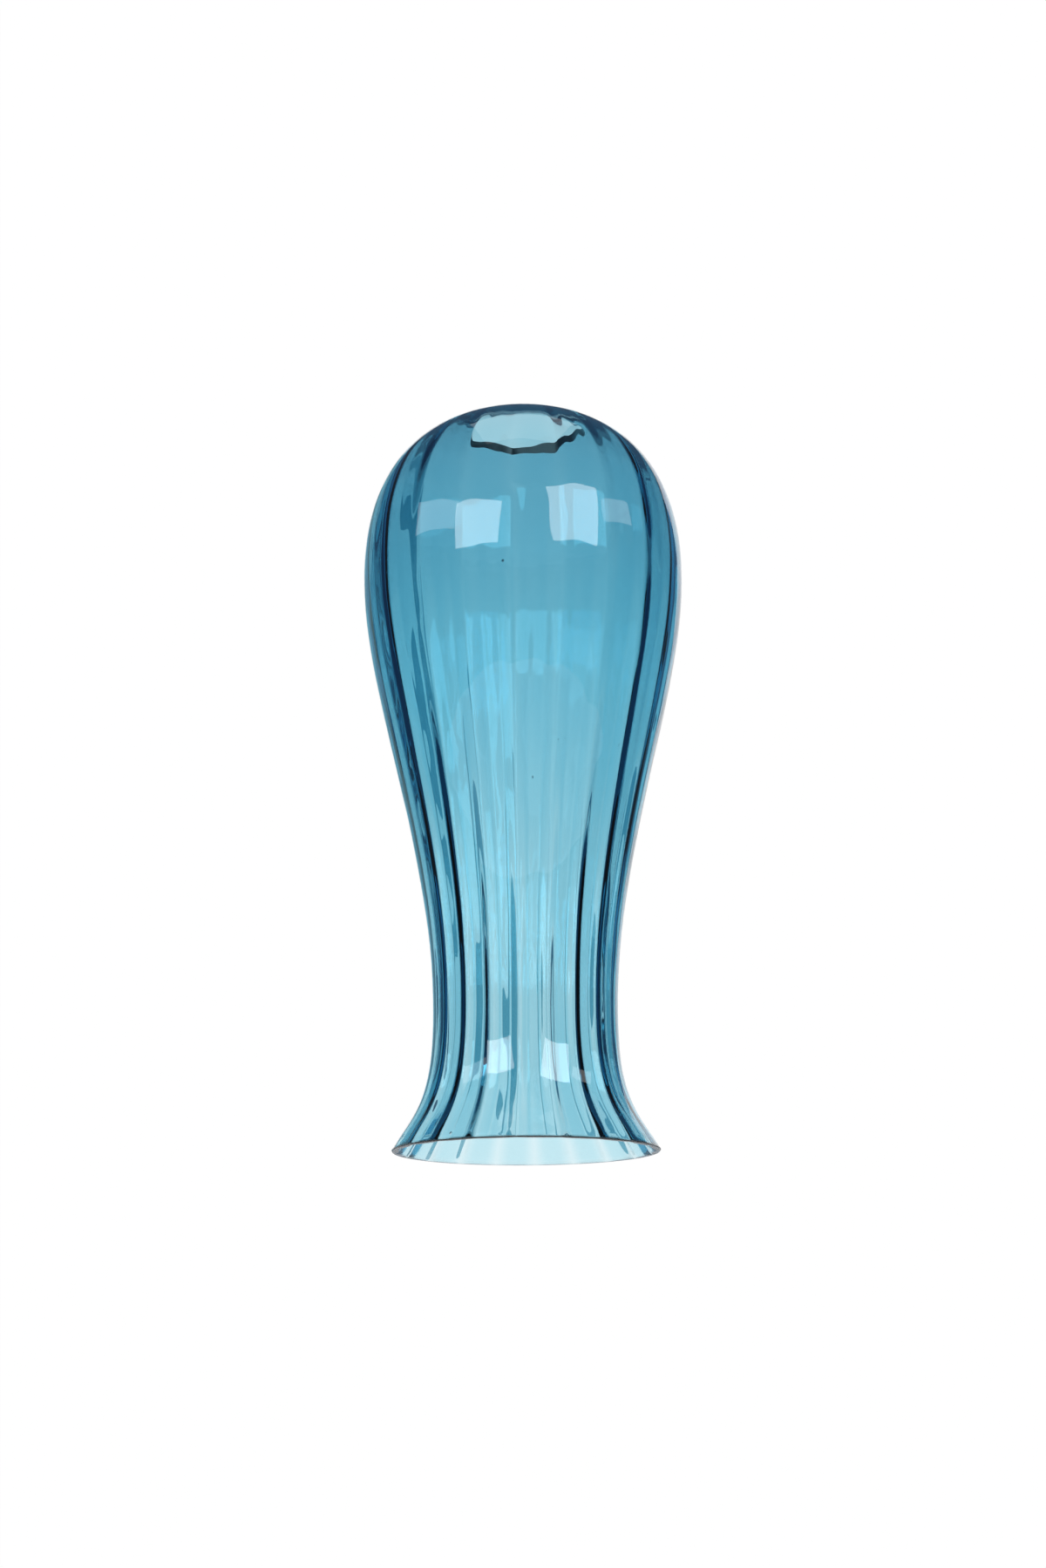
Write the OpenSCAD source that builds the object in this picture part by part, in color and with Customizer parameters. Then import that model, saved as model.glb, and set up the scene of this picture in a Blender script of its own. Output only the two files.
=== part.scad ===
// Mouth-blown ribbed glass shade with a round lamp-holder hole in the crown.
// Millimetres, +Z up, origin in the rim plane at the centre of the open mouth.

/* [Outline] */
// Height from the rim plane to the top of the crown hole
height = 270; // [240:1:300]
// Widest outside diameter, across the bulb
body_d = 117; // [110:0.5:124]
// Height of the widest point above the rim plane
body_z = 210; // [200:1:216]
// Narrowest outside diameter, at the waist
waist_d = 65.5; // [60:0.5:74]
// Height of the waist above the rim plane
waist_z = 48; // [42:1:56]
// Outside diameter of the flared rim
rim_d = 94; // [86:0.5:104]

/* [Curves] */
// Angle of the flare at the rim, measured up from the rim plane
flare_angle = 62; // [50:1:75]
// How far the flare keeps its rim angle
flare_reach = 14; // [8:0.5:18]
// How far below the waist the wall stays upright
waist_low = 32; // [22:1:34]
// How far above the waist the wall stays upright
waist_high = 60; // [40:1:70]
// How far below the widest point the wall stays upright
body_low = 45; // [35:1:60]
// How far above the widest point the wall stays upright
body_high = 49; // [38:1:50]
// How far the crown keeps the slope it has at the hole
crown_reach = 9; // [5:0.5:16]
// Slope of the crown at the hole, from horizontal
crown_slope = 19; // [12:1:24]

/* [Crown hole] */
// Diameter of the lamp-holder hole
hole_d = 42; // [28:0.5:44]

/* [Wall] */
// Wall in the grooves between the ribs at the rim
wall_rim = 1.5; // [1.2:0.1:2.4]
// Wall in the grooves at the waist
wall_waist = 1.7; // [1.2:0.1:3]
// Wall in the grooves at the widest point
wall_body = 4; // [2.4:0.1:4.4]
// Wall at the crown hole
wall_crown = 3.2; // [2.4:0.1:4.8]
// Width of the ground arris on both edges of the rim
arris = 0.4; // [0.2:0.1:0.6]

/* [Ribs] */
// Number of broad optic ribs round the inside
rib_count = 20; // [12:1:24]
// Height of a rib above the grooves at the rim
rib_rim = 1.3; // [0.3:0.1:1.6]
// Height of a rib at the waist
rib_waist = 1.3; // [0.5:0.1:2]
// Height of a rib at the widest point
rib_body = 0.6; // [0.1:0.1:1.2]
// Share of the rib spacing that each sloping flank takes
rib_flank = 0.3; // [0.2:0.05:0.45]
// Turn of the first groove from the +X axis, degrees
rib_turn = 14; // [0:1:17]

/* [Hidden] */

glass_blue = [0.36, 0.66, 0.78, 0.8];

// Segments of the outside outline along the foot, the neck and the dome
outer_steps = [14, 18, 18];
// Segments of the ribbed inside along the same three stretches
inner_steps = [7, 10, 8];
// Points across one rib on the inside
rib_points = 6;
// Rounding of the two ends of a flank, as a share of the flank
flank_round = 0.15;
// Turned faces
round_fn = 120;
// Overlap of a cutting tool past the face it cuts
cut = 2;

// Bezier handles of the three stretches, as [radius, height]
rim_point = [rim_d / 2, 0];
waist_point = [waist_d / 2, waist_z];
body_point = [body_d / 2, body_z];
crown_point = [hole_d / 2, height];
foot_curve = [
    rim_point,
    rim_point + flare_reach * [-cos(flare_angle), sin(flare_angle)],
    waist_point - [0, waist_low],
    waist_point
];
neck_curve = [waist_point, waist_point + [0, waist_high], body_point - [0, body_low], body_point];
dome_curve = [
    body_point,
    body_point + [0, body_high],
    crown_point + crown_reach * [cos(crown_slope), -sin(crown_slope)],
    crown_point
];
curves = [foot_curve, neck_curve, dome_curve];

// Point at t along a cubic Bezier with the handles p
function bezier(p, t) =
    pow(1 - t, 3) * p[0] + 3 * pow(1 - t, 2) * t * p[1]
    + 3 * (1 - t) * t * t * p[2] + pow(t, 3) * p[3];

// Direction of the same curve at t
function bezier_dir(p, t) =
    pow(1 - t, 2) * (p[1] - p[0]) + 2 * (1 - t) * t * (p[2] - p[1]) + t * t * (p[3] - p[2]);

// Unit vector from the outside outline into the wall
function inward(p, t) = let (d = bezier_dir(p, t)) [-d[1], d[0]] / norm(d);

// Value at t between the two ends of a stretch, level at both ends
function blend(a, b, t) = a + (b - a) * (1 - cos(180 * t)) / 2;

// Wall thickness and rib height at the ends of the three stretches
walls = [wall_rim, wall_waist, wall_body, wall_crown];
ribs = [rib_rim, rib_waist, rib_body, 0];

// Outside outline from the rim to the hole
function outer_outline() = concat(
    [for (k = [0:2]) for (i = [0:outer_steps[k] - 1]) bezier(curves[k], i / outer_steps[k])],
    [crown_point]
);

// Station of the inside on curve k at t: [radius, height, rib height]
function station(k, t) = let (
    p = bezier(curves[k], t) + blend(walls[k], walls[k + 1], t) * inward(curves[k], t)
) [p[0], p[1], blend(ribs[k], ribs[k + 1], t)];

// Stations of the inside above the rim
function inner_stations() = concat(
    [for (k = [0:2]) for (i = [(k == 0 ? 1 : 0):inner_steps[k] - 1]) station(k, i / inner_steps[k])],
    [station(2, 1)]
);

// Radius of the inside at the rim, and the stations that carry it past the rim plane
rim_in = rim_d / 2 - wall_rim / sin(flare_angle);
rim_stations = [
    [rim_in + arris + cut, -cut, rib_rim],
    [rim_in, arris, rib_rim]
];

// Straight flank rising from a groove at s = 0 to the rib at s = 1, with its ends rounded
function ramp(s) = norm([s, flank_round]) - norm([s - 1, flank_round]);

// Share of the rib height at a distance from the groove, in rib spacings from 0 to 0.5
function crest(off) = (ramp(off / rib_flank) - ramp(0)) / (ramp(0.5 / rib_flank) - ramp(0));

// Ribbed hollow of the shade, closed by flat ends
module ribbed_hollow() {
    stations = concat(rim_stations, inner_stations());
    around = rib_count * rib_points;
    last = len(stations) - 1;
    points = [
        for (s = stations) for (i = [0:around - 1])
            let (
                a = 360 * i / around + rib_turn,
                turn = i / rib_points,
                r = s[0] - s[2] * crest(abs(turn - round(turn)))
            )
            [r * cos(a), r * sin(a), s[1]]
    ];
    side = [
        for (j = [0:last - 1]) for (i = [0:around - 1])
            let (n = (i + 1) % around, a = j * around, b = a + around)
            each [[a + i, b + i, b + n], [a + i, b + n, a + n]]
    ];
    floor_cap = [[for (i = [0:around - 1]) i]];
    crown_cap = [[for (i = [around - 1:-1:0]) last * around + i]];
    polyhedron(points = points, faces = concat(side, floor_cap, crown_cap), convexity = 6);
}

// Solid outside shape, with the arris ground on the edge of the rim
module outer_body() {
    outline = outer_outline();
    rim_edge = [[rim_d / 2 - arris, 0], [rim_d / 2 - arris / 4, arris]];
    rotate_extrude($fn = round_fn)
        polygon(concat(
            [[0, 0]],
            rim_edge,
            [for (i = [1:len(outline) - 1]) outline[i]],
            [[0, height]]
        ));
}

module glass_shade() {
    color(glass_blue)
        difference() {
            outer_body();
            ribbed_hollow();
            translate([0, 0, height - wall_crown * 2])
                cylinder(d = hole_d, h = wall_crown * 2 + cut, $fn = round_fn);
        }
}

glass_shade();
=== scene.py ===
import math

import bpy
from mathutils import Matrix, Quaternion, Vector, noise


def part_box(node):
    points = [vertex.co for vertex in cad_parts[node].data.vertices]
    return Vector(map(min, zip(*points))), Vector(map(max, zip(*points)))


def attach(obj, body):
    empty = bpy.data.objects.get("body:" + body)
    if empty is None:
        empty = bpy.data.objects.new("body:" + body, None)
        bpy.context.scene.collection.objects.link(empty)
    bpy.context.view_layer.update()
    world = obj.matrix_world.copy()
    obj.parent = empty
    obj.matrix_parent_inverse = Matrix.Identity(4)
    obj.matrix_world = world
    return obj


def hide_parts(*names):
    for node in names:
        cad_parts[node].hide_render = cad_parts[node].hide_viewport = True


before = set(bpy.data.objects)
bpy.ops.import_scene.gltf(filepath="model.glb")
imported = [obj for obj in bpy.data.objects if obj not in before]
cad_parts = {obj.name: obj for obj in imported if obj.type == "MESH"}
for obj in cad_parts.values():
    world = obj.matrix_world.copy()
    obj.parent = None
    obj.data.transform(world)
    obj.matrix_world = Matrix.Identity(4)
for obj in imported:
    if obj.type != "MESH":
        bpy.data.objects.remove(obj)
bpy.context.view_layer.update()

SHADE_LOW, SHADE_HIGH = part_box("glass_shade")

# --- The shade's dimensions, in metres ---------------------------------------

HEIGHT = SHADE_HIGH[2] - SHADE_LOW[2]
BODY_R = (SHADE_HIGH[0] - SHADE_LOW[0]) / 2
BODY_Z = 0.210
WAIST_R = 0.03275
WAIST_Z = 0.048
RIM_R = 0.047
HOLE_R = 0.021

# Handles of the outline's curves at the rim, below and above the waist and the widest
# point, and at the crown hole
FLARE_ANGLE = math.radians(62)
FLARE_REACH = 0.014
WAIST_LOW = 0.032
WAIST_HIGH = 0.060
BODY_LOW = 0.045
BODY_HIGH = 0.049
CROWN_REACH = 0.009
CROWN_SLOPE = math.radians(19)

# Wall in the grooves, and rib height over them, at the rim, the waist, the widest
# point and the crown hole
WALLS = [0.0015, 0.0017, 0.0040, 0.0032]
RIBS = [0.0013, 0.0013, 0.0006, 0.0]
RIB_COUNT = 20
# Angle of one groove from the +X axis
RIB_TURN = math.radians(14)
# Share of the rib spacing in one flank, and share of the flank in its rounding
FLANK = 0.30
FLANK_ROUND = 0.15
# Height of the rim's ground edge, and how far in its upper end lies
ARRIS = 0.0004
ARRIS_IN = 0.0001
# The first ring of the wall above the rim lies higher than this
WALL_START = 2 * ARRIS

# Hand-blown waviness: height, and the sizes of one wave round and along the shade
WAVE_OUT = 0.00011
WAVE_IN = 0.00012
WAVE_ROUND = 0.016
WAVE_ALONG = 0.030
# Finer ripple on top of it, at this share of the height and of the size
RIPPLE_HEIGHT = 0.6
RIPPLE_SIZE = 0.4
# Length over which both fade out at a ground edge
WAVE_FADE = 0.01
# Place in the noise of the outside and of the inside
WAVE_SEED_OUT = 0.0
WAVE_SEED_IN = 9.0

# Seeds caught in the glass: degrees round the shade from the +X axis, height, radius, and
# how far drawn out upwards
SEEDS = (
    (-97, 0.1976, 0.00045, 1.0),
    (-152, 0.2085, 0.00050, 1.0),
    (-153, 0.2040, 0.00035, 1.0),
    (-124, 0.0022, 0.00045, 1.4),
    (-86, 0.1240, 0.00025, 2.0),
    (60, 0.1600, 0.00035, 1.5),
    (150, 0.0900, 0.00030, 2.0),
)
# Depth of their centres below the outside
SEED_DEPTH = 0.0012
SEED_SIDES = 12
SEED_ROWS = 8

# Points round the shade, and rings along the foot, the neck and the dome
AROUND = RIB_COUNT * 20
OUTER_STEPS = [22, 30, 36]
INNER_STEPS = [32, 44, 48]


# --- Outline -------------------------------------------------------------------

def pair(r, z):
    return Vector((r, z))


RIM_POINT = pair(RIM_R, 0)
WAIST_POINT = pair(WAIST_R, WAIST_Z)
BODY_POINT = pair(BODY_R, BODY_Z)
CROWN_POINT = pair(HOLE_R, HEIGHT)
CURVES = [
    [
        RIM_POINT,
        RIM_POINT + FLARE_REACH * pair(-math.cos(FLARE_ANGLE), math.sin(FLARE_ANGLE)),
        WAIST_POINT - pair(0, WAIST_LOW),
        WAIST_POINT,
    ],
    [WAIST_POINT, WAIST_POINT + pair(0, WAIST_HIGH), BODY_POINT - pair(0, BODY_LOW), BODY_POINT],
    [
        BODY_POINT,
        BODY_POINT + pair(0, BODY_HIGH),
        CROWN_POINT + CROWN_REACH * pair(math.cos(CROWN_SLOPE), -math.sin(CROWN_SLOPE)),
        CROWN_POINT,
    ],
]


def bezier(p, t):
    u = 1 - t
    return u ** 3 * p[0] + 3 * u * u * t * p[1] + 3 * u * t * t * p[2] + t ** 3 * p[3]


def inward(p, t):
    """Unit vector from the outside outline into the wall."""
    u = 1 - t
    d = u * u * (p[1] - p[0]) + 2 * u * t * (p[2] - p[1]) + t * t * (p[3] - p[2])
    return pair(-d.y, d.x).normalized()


def blend(a, b, t):
    """From a to b as t goes from 0 to 1, level at both ends."""
    return a + (b - a) * (1 - math.cos(math.pi * t)) / 2


def outer_stations():
    """Radius, height and rib height of each ring of the outside, from rim to hole."""
    rings = []
    for curve, steps in zip(CURVES, OUTER_STEPS):
        rings += [(*bezier(curve, i / steps), 0.0) for i in range(steps)]
    return rings + [(*CROWN_POINT, 0.0)]


def inner_stations():
    """The same for the inside, from rim to hole."""
    rings = []
    for k, (curve, steps) in enumerate(zip(CURVES, INNER_STEPS)):
        count = steps + 1 if k == len(CURVES) - 1 else steps
        for i in range(count):
            t = i / steps
            p = bezier(curve, t) + blend(WALLS[k], WALLS[k + 1], t) * inward(curve, t)
            rings.append((p.x, p.y, blend(RIBS[k], RIBS[k + 1], t)))
    return rings


def ramp(s):
    """Straight flank rising from a groove at s = 0 to a rib at s = 1, its ends rounded."""
    return math.hypot(s, FLANK_ROUND) - math.hypot(s - 1, FLANK_ROUND)


def crest(angle):
    """Share of the rib height at an angle round the shade: 0 in a groove, 1 on a rib."""
    turn = (angle - RIB_TURN) * RIB_COUNT / (2 * math.pi)
    off = abs(turn - round(turn))
    low = ramp(0)
    return (ramp(off / FLANK) - low) / (ramp(0.5 / FLANK) - low)


def wave(angle, r, z, height, seed):
    """Waviness of the hand-blown surface, fading out at both ground edges."""
    x, y = r * math.cos(angle), r * math.sin(angle)
    place = Vector((x / WAVE_ROUND, y / WAVE_ROUND, z / WAVE_ALONG + seed))
    fade = min(1.0, z / WAVE_FADE, (HEIGHT - z) / WAVE_FADE)
    ripple = RIPPLE_HEIGHT * noise.noise(place / RIPPLE_SIZE)
    return height * max(0.0, fade) * (1 + RIPPLE_HEIGHT + noise.noise(place) + ripple)


# --- Glass mesh ------------------------------------------------------------------

def shade_rings():
    """Closed loop of rings round the wall's section, which of them are crisp edges, and
    the last one of the outside."""
    outer = [s for s in outer_stations() if s[1] > WALL_START]
    inner = [s for s in inner_stations() if s[1] > WALL_START and s[0] > HOLE_R]
    rim_in = RIM_R - WALLS[0] / math.sin(FLARE_ANGLE)
    rings = [(RIM_R - ARRIS, 0.0, 0.0), (RIM_R - ARRIS_IN, ARRIS, 0.0)]
    sharp = [0, 1]
    rings += outer
    outside = len(rings) - 1
    sharp.append(outside)
    rings.append((HOLE_R, inner[-1][1], 0.0))
    sharp.append(len(rings) - 1)
    rings += reversed(inner)
    rings.append((rim_in, ARRIS, RIBS[0]))
    sharp.append(len(rings) - 1)
    rings.append((rim_in + ARRIS, 0.0, RIBS[0]))
    sharp.append(len(rings) - 1)
    return rings, sharp, outside


def turned(x, y, angle):
    """The point (x, y) turned about the shade's axis."""
    return x * math.cos(angle) - y * math.sin(angle), x * math.sin(angle) + y * math.cos(angle)


def add_seed(points, faces, angle, z, radius, drawn):
    """Small closed void in the wall, its faces turned into the void."""
    ring = min(outer_stations(), key=lambda s: abs(s[1] - z))
    out = ring[0] - SEED_DEPTH
    start = len(points)
    for j in range(1, SEED_ROWS):
        lat = math.pi * j / SEED_ROWS
        for i in range(SEED_SIDES):
            a = 2 * math.pi * i / SEED_SIDES
            x = out + radius * math.sin(lat) * math.cos(a)
            y = radius * math.sin(lat) * math.sin(a)
            points.append((*turned(x, y, angle), z + radius * drawn * math.cos(lat)))
    poles = [len(points), len(points) + 1]
    for way in (1, -1):
        points.append((*turned(out, 0, angle), z + way * radius * drawn))
    last = start + (SEED_ROWS - 2) * SEED_SIDES
    for i in range(SEED_SIDES):
        k = (i + 1) % SEED_SIDES
        faces.append((poles[0], start + k, start + i))
        faces.append((poles[1], last + i, last + k))
        for j in range(SEED_ROWS - 2):
            a = start + j * SEED_SIDES
            b = a + SEED_SIDES
            faces.append((a + i, a + k, b + k, b + i))


def make_shade():
    """One closed shell for the glass, with its seeds as voids inside it."""
    rings, sharp, outside = shade_rings()
    points = []
    for j, (r, z, rib) in enumerate(rings):
        height, seed = (WAVE_OUT, WAVE_SEED_OUT) if j <= outside else (WAVE_IN, WAVE_SEED_IN)
        for i in range(AROUND):
            a = RIB_TURN + 2 * math.pi * i / AROUND
            rr = r - rib * crest(a) - wave(a, r, z, height, seed)
            points.append((rr * math.cos(a), rr * math.sin(a), z))
    faces = []
    count = len(rings)
    for j in range(count):
        for i in range(AROUND):
            k = (i + 1) % AROUND
            a = j * AROUND
            b = (j + 1) % count * AROUND
            faces.append((a + i, a + k, b + k, b + i))
    for angle, z, radius, drawn in SEEDS:
        add_seed(points, faces, math.radians(angle), z, radius, drawn)
    mesh = bpy.data.meshes.new("glass_shade_fine")
    mesh.from_pydata(points, [], faces)
    mesh.update()
    mesh.shade_smooth()
    for edge in mesh.edges:
        a, b = (v // AROUND for v in edge.vertices)
        edge.use_edge_sharp = a == b and a in sharp
    shade = bpy.data.objects.new("glass_shade_fine", mesh)
    bpy.context.scene.collection.objects.link(shade)
    return shade


# --- Materials -------------------------------------------------------------------

GLASS_IOR = 1.5
# Body tint: each channel is absorbed at the density times one less the colour, per metre
ABSORPTION = (0.052, 0.678, 0.817)
ABSORPTION_DENSITY = 230
# Tint where light passes the surface, and the heights between which it changes
TINT_FOOT = (1.0, 1.0, 1.0)
TINT_CROWN = (0.84, 0.84, 0.86)
TINT_LOW = 0.18
TINT_HIGH = 0.25
# Streaks: share in the tint, noise scale and detail, and squeeze that draws them out
TINT_STREAKS = 0.1
STREAK_SCALE = 90
STREAK_DETAIL = 3
STREAK_SQUEEZE = 0.25
# Roughness of the fire-polished skin at most, and of the ground rim and bore
SKIN_ROUGHNESS = 0.01
GROUND_ROUGHNESS = 0.3
# Share of the arris, upwards from the rim plane, that is ground
GROUND_SHARE = 0.9
# Margin round the crown hole inside which the glass counts as its ground wall
BORE_MARGIN = 0.0001
# Bump of the streaks
BUMP_DEPTH = 0.00003
BUMP_STRENGTH = 0.3


def add_node(nodes, kind, operation=None, **values):
    """New shader node with the named inputs set."""
    node = nodes.new(kind)
    if operation:
        node.operation = operation
    for name, value in values.items():
        node.inputs[name].default_value = value
    return node


def blue_glass():
    """Body-tinted glass with a fire-polished skin and satin ground edges."""
    mat = bpy.data.materials.new("blue_glass")
    mat.use_nodes = True
    nodes, links = mat.node_tree.nodes, mat.node_tree.links
    shader = nodes["Principled BSDF"]
    shader.inputs["Transmission Weight"].default_value = 1
    shader.inputs["IOR"].default_value = GLASS_IOR

    place = nodes.new("ShaderNodeTexCoord").outputs["Object"]
    stretch = add_node(nodes, "ShaderNodeMapping", Scale=(1, 1, STREAK_SQUEEZE))
    links.new(place, stretch.inputs["Vector"])
    height = nodes.new("ShaderNodeSeparateXYZ")
    links.new(place, height.inputs["Vector"])

    # Streaks left by the blowing, drawn out along the shade
    streaks = add_node(nodes, "ShaderNodeTexNoise", Scale=STREAK_SCALE, Detail=STREAK_DETAIL)
    links.new(stretch.outputs["Vector"], streaks.inputs["Vector"])

    # Surface tint: slightly greyer towards the crown, with the streaks through it
    rise = add_node(nodes, "ShaderNodeMapRange", **{"From Min": TINT_LOW, "From Max": TINT_HIGH})
    links.new(height.outputs["Z"], rise.inputs["Value"])
    waver = add_node(nodes, "ShaderNodeMath", operation="MULTIPLY_ADD")
    links.new(streaks.outputs["Fac"], waver.inputs[0])
    waver.inputs[1].default_value = TINT_STREAKS
    links.new(rise.outputs["Result"], waver.inputs[2])
    tint = nodes.new("ShaderNodeMix")
    tint.data_type = "RGBA"
    tint.inputs["A"].default_value = (*TINT_FOOT, 1)
    tint.inputs["B"].default_value = (*TINT_CROWN, 1)
    links.new(waver.outputs["Value"], tint.inputs["Factor"])
    links.new(tint.outputs["Result"], shader.inputs["Base Color"])

    # Fire-polished skin, and the satin of the ground rim and bore
    skin = add_node(nodes, "ShaderNodeMapRange", **{"To Min": 0.0, "To Max": SKIN_ROUGHNESS})
    links.new(streaks.outputs["Fac"], skin.inputs["Value"])
    rim = add_node(nodes, "ShaderNodeMath", operation="LESS_THAN")
    links.new(height.outputs["Z"], rim.inputs[0])
    rim.inputs[1].default_value = ARRIS * GROUND_SHARE
    across = nodes.new("ShaderNodeCombineXYZ")
    links.new(height.outputs["X"], across.inputs["X"])
    links.new(height.outputs["Y"], across.inputs["Y"])
    radius = add_node(nodes, "ShaderNodeVectorMath", operation="LENGTH")
    links.new(across.outputs["Vector"], radius.inputs[0])
    bore = add_node(nodes, "ShaderNodeMath", operation="LESS_THAN")
    links.new(radius.outputs["Value"], bore.inputs[0])
    bore.inputs[1].default_value = HOLE_R + BORE_MARGIN
    ground = add_node(nodes, "ShaderNodeMath", operation="MAXIMUM")
    links.new(rim.outputs["Value"], ground.inputs[0])
    links.new(bore.outputs["Value"], ground.inputs[1])
    rough = add_node(nodes, "ShaderNodeMath", operation="MULTIPLY_ADD")
    links.new(ground.outputs["Value"], rough.inputs[0])
    rough.inputs[1].default_value = GROUND_ROUGHNESS
    links.new(skin.outputs["Result"], rough.inputs[2])
    links.new(rough.outputs["Value"], shader.inputs["Roughness"])

    bump = add_node(nodes, "ShaderNodeBump", Strength=BUMP_STRENGTH, Distance=BUMP_DEPTH)
    links.new(streaks.outputs["Fac"], bump.inputs["Height"])
    links.new(bump.outputs["Normal"], shader.inputs["Normal"])

    volume = nodes.new("ShaderNodeVolumeAbsorption")
    volume.inputs["Color"].default_value = (*ABSORPTION, 1)
    volume.inputs["Density"].default_value = ABSORPTION_DENSITY
    links.new(volume.outputs["Volume"], nodes["Material Output"].inputs["Volume"])
    return mat


def plain(name, colour, roughness, glow, tint=(1, 1, 1)):
    """Even material that gives light of the given strength and tint."""
    mat = bpy.data.materials.new(name)
    mat.use_nodes = True
    shader = mat.node_tree.nodes["Principled BSDF"]
    shader.inputs["Base Color"].default_value = (*colour, 1)
    shader.inputs["Roughness"].default_value = roughness
    shader.inputs["Emission Color"].default_value = (*tint, 1)
    shader.inputs["Emission Strength"].default_value = glow
    return mat


# --- Studio ----------------------------------------------------------------------

# Camera: away from the axis, below the rim, tilted up, rolled, and moved aside
CAMERA_BACK = 0.914
CAMERA_LOW = 0.097
CAMERA_TILT = math.radians(14.07)
CAMERA_ROLL = math.radians(-0.33)
CAMERA_ASIDE = -0.0004
LENS = 60.0

# Round pale floor, out of the camera's sight below the hanging shade
FLOOR_R = 4.0
FLOOR_DROP = 0.35
FLOOR_SIDES = 96
FLOOR_COLOUR = (0.9, 0.9, 0.9)
FLOOR_ROUGHNESS = 0.6
FLOOR_GLOW = 0.5
# Colour of the sheets and cards, which only give light
BLACK = (0, 0, 0)
# Overhead card: side, height and light
CEILING_SIDE = 1.2
CEILING_Z = 2.0
CEILING_LIGHT = 0.9

# Light of the unlit room beyond the sheets
DARK_TINT = (0.07, 0.10, 0.15)
# Upright sheets behind the shade: edges in degrees, seen from the shade, and light
SHEETS = (
    ("backdrop", -12.7, 31, (1, 1, 1)),
    ("wing_left", -36, -12.7, (0.24, 0.48, 0.57)),
    ("wing_right", 31, 45, (0.12, 0.22, 0.30)),
)
SHEET_AWAY = 12.0
SHEET_HEIGHT = 8.3
# Softboxes seen from the bulb: azimuth from the camera's side, elevation, the angles they
# fill across and up, and light. They stand upright, facing the bulb.
SOFTBOXES = (
    ("softbox_left", -32, 22, 30, 17, 5.5),
    ("softbox_right", 38, 26, 32, 22, 5.5),
    ("card_left", -66, 26, 32, 11, 2.0),
    ("card_right", 72, 27, 22, 8, 2.0),
)
SOFTBOX_AWAY = 2.0
SOFTBOX_AIM = 0.21


def make_camera():
    """Camera at the photograph's angle."""
    data = bpy.data.cameras.new("camera")
    data.lens = LENS
    camera = bpy.data.objects.new("camera", data)
    camera.location = (CAMERA_ASIDE, -CAMERA_BACK, -CAMERA_LOW)
    tilt = Quaternion((1, 0, 0), math.pi / 2 + CAMERA_TILT)
    camera.rotation_euler = (tilt @ Quaternion((0, 0, 1), CAMERA_ROLL)).to_euler()
    bpy.context.scene.collection.objects.link(camera)
    bpy.context.scene.camera = camera
    return camera


def add_sheet(name, corners):
    """Flat studio piece with the given corners, in order."""
    mesh = bpy.data.meshes.new(name)
    mesh.from_pydata(corners, [], [tuple(range(len(corners)))])
    obj = bpy.data.objects.new(name, mesh)
    bpy.context.scene.collection.objects.link(obj)
    return obj


def add_plane(name, width, height):
    w, h = width / 2, height / 2
    return add_sheet(name, [(-w, -h, 0), (w, -h, 0), (w, h, 0), (-w, h, 0)])


def add_disc(name, radius):
    turns = [2 * math.pi * i / FLOOR_SIDES for i in range(FLOOR_SIDES)]
    return add_sheet(name, [(radius * math.cos(a), radius * math.sin(a), 0) for a in turns])


def make_room():
    """Dim room and pale floor."""
    world = bpy.data.worlds.new("studio")
    world.use_nodes = True
    background = world.node_tree.nodes["Background"]
    background.inputs["Color"].default_value = (*DARK_TINT, 1)
    background.inputs["Strength"].default_value = 1
    bpy.context.scene.world = world

    floor = add_disc("floor", FLOOR_R)
    floor.location.z = -FLOOR_DROP
    floor.data.materials.append(plain("floor", FLOOR_COLOUR, FLOOR_ROUGHNESS, FLOOR_GLOW))


def make_sheets(camera):
    """Backdrop and its wings, fixed to the camera, and the overhead card."""
    for name, left, right, tint in SHEETS:
        x0, x1 = (SHEET_AWAY * math.tan(math.radians(d)) for d in (left, right))
        sheet = add_plane(name, x1 - x0, SHEET_HEIGHT)
        sheet.parent = camera
        sheet.location = ((x0 + x1) / 2, 0, -(CAMERA_BACK + SHEET_AWAY))
        sheet.data.materials.append(plain(name, BLACK, 1.0, 1.0, tint))

    ceiling = add_plane("ceiling", CEILING_SIDE, CEILING_SIDE)
    ceiling.location = (0, 0, CEILING_Z)
    ceiling.data.materials.append(plain("ceiling", BLACK, 1.0, CEILING_LIGHT))


def make_softboxes(camera):
    """Softboxes placed in the world, then fixed to the camera as it stands now."""
    for name, azimuth, elevation, across, up, glow in SOFTBOXES:
        width, height = (2 * SOFTBOX_AWAY * math.tan(math.radians(d) / 2) for d in (across, up))
        data = bpy.data.lights.new(name, "AREA")
        data.shape = "RECTANGLE"
        data.size = width
        data.size_y = height
        data.energy = glow * math.pi * width * height
        light = bpy.data.objects.new(name, data)
        bpy.context.scene.collection.objects.link(light)
        light.parent = camera
        light.matrix_parent_inverse = camera.matrix_world.inverted()
        a, e = math.radians(azimuth), math.radians(elevation)
        way = Vector((math.sin(a) * math.cos(e), -math.cos(a) * math.cos(e), math.sin(e)))
        light.location = Vector((0, 0, SOFTBOX_AIM)) + SOFTBOX_AWAY * way
        light.rotation_euler = way.to_track_quat("Z", "Y").to_euler()


camera = make_camera()
bpy.context.view_layer.update()
make_room()
make_sheets(camera)
make_softboxes(camera)
shade = make_shade()
shade.data.materials.append(blue_glass())
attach(shade, "root")
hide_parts("glass_shade")

bpy.context.scene.view_settings.view_transform = "Standard"
